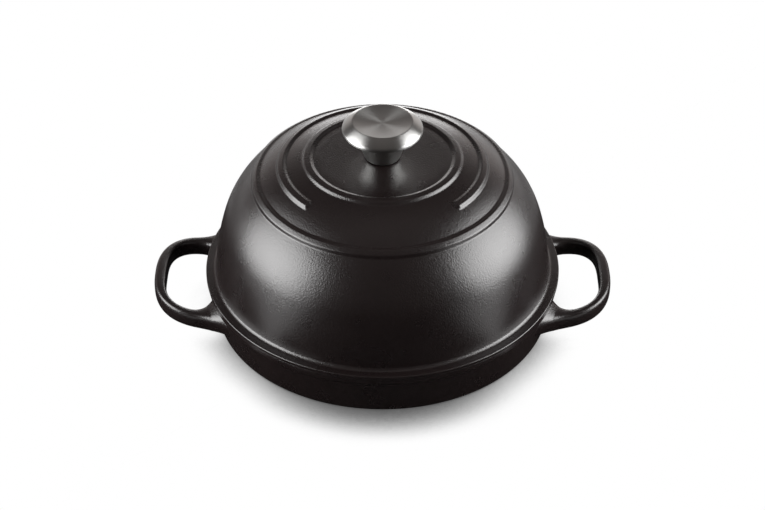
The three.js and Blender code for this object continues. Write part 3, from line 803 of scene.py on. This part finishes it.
def paper_material(studio):
    """White paper: to the camera and in reflections it is plain white with a painted contact shadow,
    darkened by ambient occlusion that looks up towards the back, as if the pot hid a light from behind;
    to all other light it is matt."""
    material, sheet = blank_material("white paper")
    # Painted shadow: within the shadow's reach, occlusion of a hemisphere tilted towards the back steps
    # the glow from white down to the shadow tone
    behind = sheet.node("ShaderNodeCombineXYZ", sockets={
        "Y": math.sin(studio.shadow_tilt), "Z": math.cos(studio.shadow_tilt)})
    reached = sheet.node("ShaderNodeAmbientOcclusion", {"samples": SHADOW_RAYS}, {
        "Distance": studio.shadow_reach, "Normal": behind}, output="AO")
    dark = sheet.stepped(1 - reached, studio.shadow_start, studio.shadow_full)
    shade = sheet.mixed(dark, grey(1), grey(studio.shadow_tone))
    path = sheet.node("ShaderNodeLightPath").socket.node
    seen = Wire(sheet.tree, path.outputs["Is Camera Ray"])
    for ray in ("Is Glossy Ray", "Is Transmission Ray"):
        seen = sheet.math("MAXIMUM", seen, Wire(sheet.tree, path.outputs[ray]))
    glow = sheet.node("ShaderNodeEmission", sockets={"Color": shade})
    matt = sheet.node("ShaderNodeBsdfDiffuse", sockets={"Color": grey(studio.paper)})
    both = sheet.node("ShaderNodeMixShader", sockets={0: seen, 1: matt, 2: glow})
    sheet.node("ShaderNodeOutputMaterial", sockets={"Surface": both})
    return material


def reflection_cloth_material(name, tone):
    """Matt cloth of one tone, seen only in reflections, where it paints a dark or grey reflection over
    the white floor.
    """
    material, sheet = blank_material(name)
    cloth = sheet.node("ShaderNodeBsdfDiffuse", sockets={"Color": grey(tone)})
    sheet.node("ShaderNodeOutputMaterial", sockets={"Surface": cloth})
    return material


def studio_world(studio):
    """A dim warm room with a lighter ceiling, a smooth step of the direction's height. Low down behind
    the pot it has a glow: a step towards the back times a step downwards, growing evenly to the right."""
    world = bpy.data.worlds.new("studio room")
    world.use_nodes = True
    world.node_tree.nodes.clear()
    sheet = Wire(world.node_tree)
    x, y, z = sheet.node("ShaderNodeTexCoord", output="Generated").axes()
    glow = sheet.stepped(y, *GLOW_BACK) * sheet.stepped(z, *GLOW_LOW) * (1 + studio.glow_tilt * x)
    overhead = sheet.stepped(z, *CEILING_STEP)
    light = sheet.node("ShaderNodeBackground", sockets={
        "Color": (*studio.room_colour, 1.0),
        "Strength": studio.room + glow + studio.ceiling * overhead})
    sheet.node("ShaderNodeOutputWorld", sockets={"Surface": light})
    return world


def flat_sheet(name, outline, height, material):
    """A level sheet on the stage with a given outline, anticlockwise from above."""
    mesh = bpy.data.meshes.new(name)
    mesh.from_pydata([(x, y, height) for x, y in outline], [], [range(len(outline))])
    mesh.materials.append(material)
    laid = bpy.data.objects.new(name, mesh)
    bpy.context.scene.collection.objects.link(laid)
    return laid


def reflection_cloth_outlines(studio):
    """Outlines of the cloths that keep most of the white floor out of the enamel's reflections. Since the
    camera cannot see them, they are painted reflections: black ones in front of the pot, under it, on its
    left and right and in the room in front of the table, and grey ones on the left and right behind it."""
    end, table, far = FLOOR_SIDE / 2, -studio.table_front, studio.cloth_far
    side, start, back, gap = studio.cloth_side, -studio.cloth_start, studio.cloth_back, studio.gap_behind
    spread = gap + (far - back) * math.tan(studio.gap_spread)
    front = side + (start - table) * math.tan(studio.cloth_slant)
    right = [(end, start), (end, back), (gap, back), (side, start)]
    right_grey = [(end, back), (end, far), (spread, far), (gap, back)]
    return {
        "front_cloth": [(-front, table), (front, table), (side, start), (-side, start)],
        "pot_cloth": [(-side, start), (side, start), (gap, back), (-gap, back)],
        "right_cloth": right,
        "left_cloth": [(-x, y) for x, y in reversed(right)],
        "right_grey_cloth": right_grey,
        "left_grey_cloth": [(-x, y) for x, y in reversed(right_grey)],
        "room_cloth": [(-end, -end), (end, -end), (end, table), (-end, table)],
    }


def lamp(name, shape, size, power, place, turn, rise):
    """An area lamp at a place, that faces back along its turn from the front and its rise."""
    light = bpy.data.lights.new(name, "AREA")
    light.shape = shape
    light.size, light.size_y = size
    light.energy = power
    stand = bpy.data.objects.new(name, light)
    stand.location = place
    stand.rotation_euler = (math.pi / 2 - rise, 0, turn)
    stand.visible_camera = False
    bpy.context.scene.collection.objects.link(stand)
    return light


def softbox(studio, lid, name, turn, rise):
    """A round softbox in the direction of a turn from the front and a rise, seen from the lid."""
    reach = studio.softbox_distance
    place = (reach * math.cos(rise) * math.sin(turn), -reach * math.cos(rise) * math.cos(turn),
             lid.base + lid.height / 2 + reach * math.sin(rise))
    size = (studio.softbox_width, studio.softbox_width)
    lamp(name, "DISK", size, studio.softbox_power, place, turn, rise).spread = studio.softbox_spread


class BREADPOT_OT_studio(Operator):
    """Floor with its painted contact shadow, cloths seen only in reflections, room, lamps and camera"""

    bl_idname = "bread_pot.studio"
    bl_label = "Studio"

    def execute(self, context):
        scene = context.scene
        studio = scene.bread_pot.studio
        scene.view_settings.view_transform = "Standard"
        scene.world = studio_world(studio)
        end = FLOOR_SIDE / 2
        floor = [(-end, -end), (end, -end), (end, end), (-end, end)]
        flat_sheet("paper_floor", floor, 0, paper_material(studio))
        black_reflection_cloth = reflection_cloth_material("black reflection cloth", studio.black_reflection_cloth)
        grey_reflection_cloth = reflection_cloth_material("grey reflection cloth", studio.grey_reflection_cloth)
        # Painted reflections: each cloth is hidden from the camera, from diffuse light, from shadows and
        # from transmission, so it shows only in glossy reflections, over the white floor that the camera
        # sees
        for name, outline in reflection_cloth_outlines(studio).items():
            cloth = flat_sheet(name, outline, CLOTH_HEIGHT, grey_reflection_cloth if "grey" in name else black_reflection_cloth)
            cloth.visible_camera = cloth.visible_diffuse = False
            cloth.visible_shadow = cloth.visible_transmission = False
        softbox(studio, scene.bread_pot.lid, "left_softbox", -studio.left_turn, studio.left_rise)
        softbox(studio, scene.bread_pot.lid, "right_softbox", studio.right_turn, studio.right_rise)
        lamp("back_strip", "RECTANGLE", (studio.strip_width, studio.strip_height), studio.strip_power,
             (0, studio.strip_distance, studio.strip_height / 2), math.pi, 0)
        lamp("light_table", "RECTANGLE", (studio.table_width, studio.table_depth), studio.table_power,
             (0, studio.cloth_back + studio.table_depth / 2, 2 * CLOTH_HEIGHT), 0, -math.pi / 2)
        lens = bpy.data.cameras.new("front_camera")
        lens.sensor_fit = "HORIZONTAL"
        lens.sensor_width = SENSOR_WIDTH
        lens.lens = studio.lens
        camera = bpy.data.objects.new("front_camera", lens)
        camera.location = (0, -studio.distance * math.cos(studio.elevation),
                           studio.aim + studio.distance * math.sin(studio.elevation))
        camera.rotation_euler = (math.pi / 2 - studio.elevation, 0, 0)
        scene.collection.objects.link(camera)
        scene.camera = camera
        return {"FINISHED"}


class BREADPOT_PT_builder(Panel):
    """Lists the steps that build the pot"""

    bl_idname = "BREADPOT_PT_builder"
    bl_label = "Bread pot"
    bl_space_type = "VIEW_3D"
    bl_region_type = "UI"
    bl_category = "Bread pot"

    def draw(self, context):
        for step in STEPS:
            self.layout.operator(step.bl_idname)


STEPS = (BREADPOT_OT_pan, BREADPOT_OT_lid, BREADPOT_OT_knob, BREADPOT_OT_fixing, BREADPOT_OT_studio)
CLASSES = (PanShape, HandleShape, LidShape, KnobShape, Finishes, StudioSetup, BreadPot,
           *STEPS, BREADPOT_PT_builder)


def register():
    for made in CLASSES:
        bpy.utils.register_class(made)
    bpy.types.Scene.bread_pot = PointerProperty(type=BreadPot)


def unregister():
    del bpy.types.Scene.bread_pot
    for made in reversed(CLASSES):
        bpy.utils.unregister_class(made)


def main():
    register()
    bpy.ops.bread_pot.pan()
    bpy.ops.bread_pot.lid()
    bpy.ops.bread_pot.knob()
    bpy.ops.bread_pot.fixing()
    bpy.ops.bread_pot.studio()


if __name__ == "__main__":
    main()
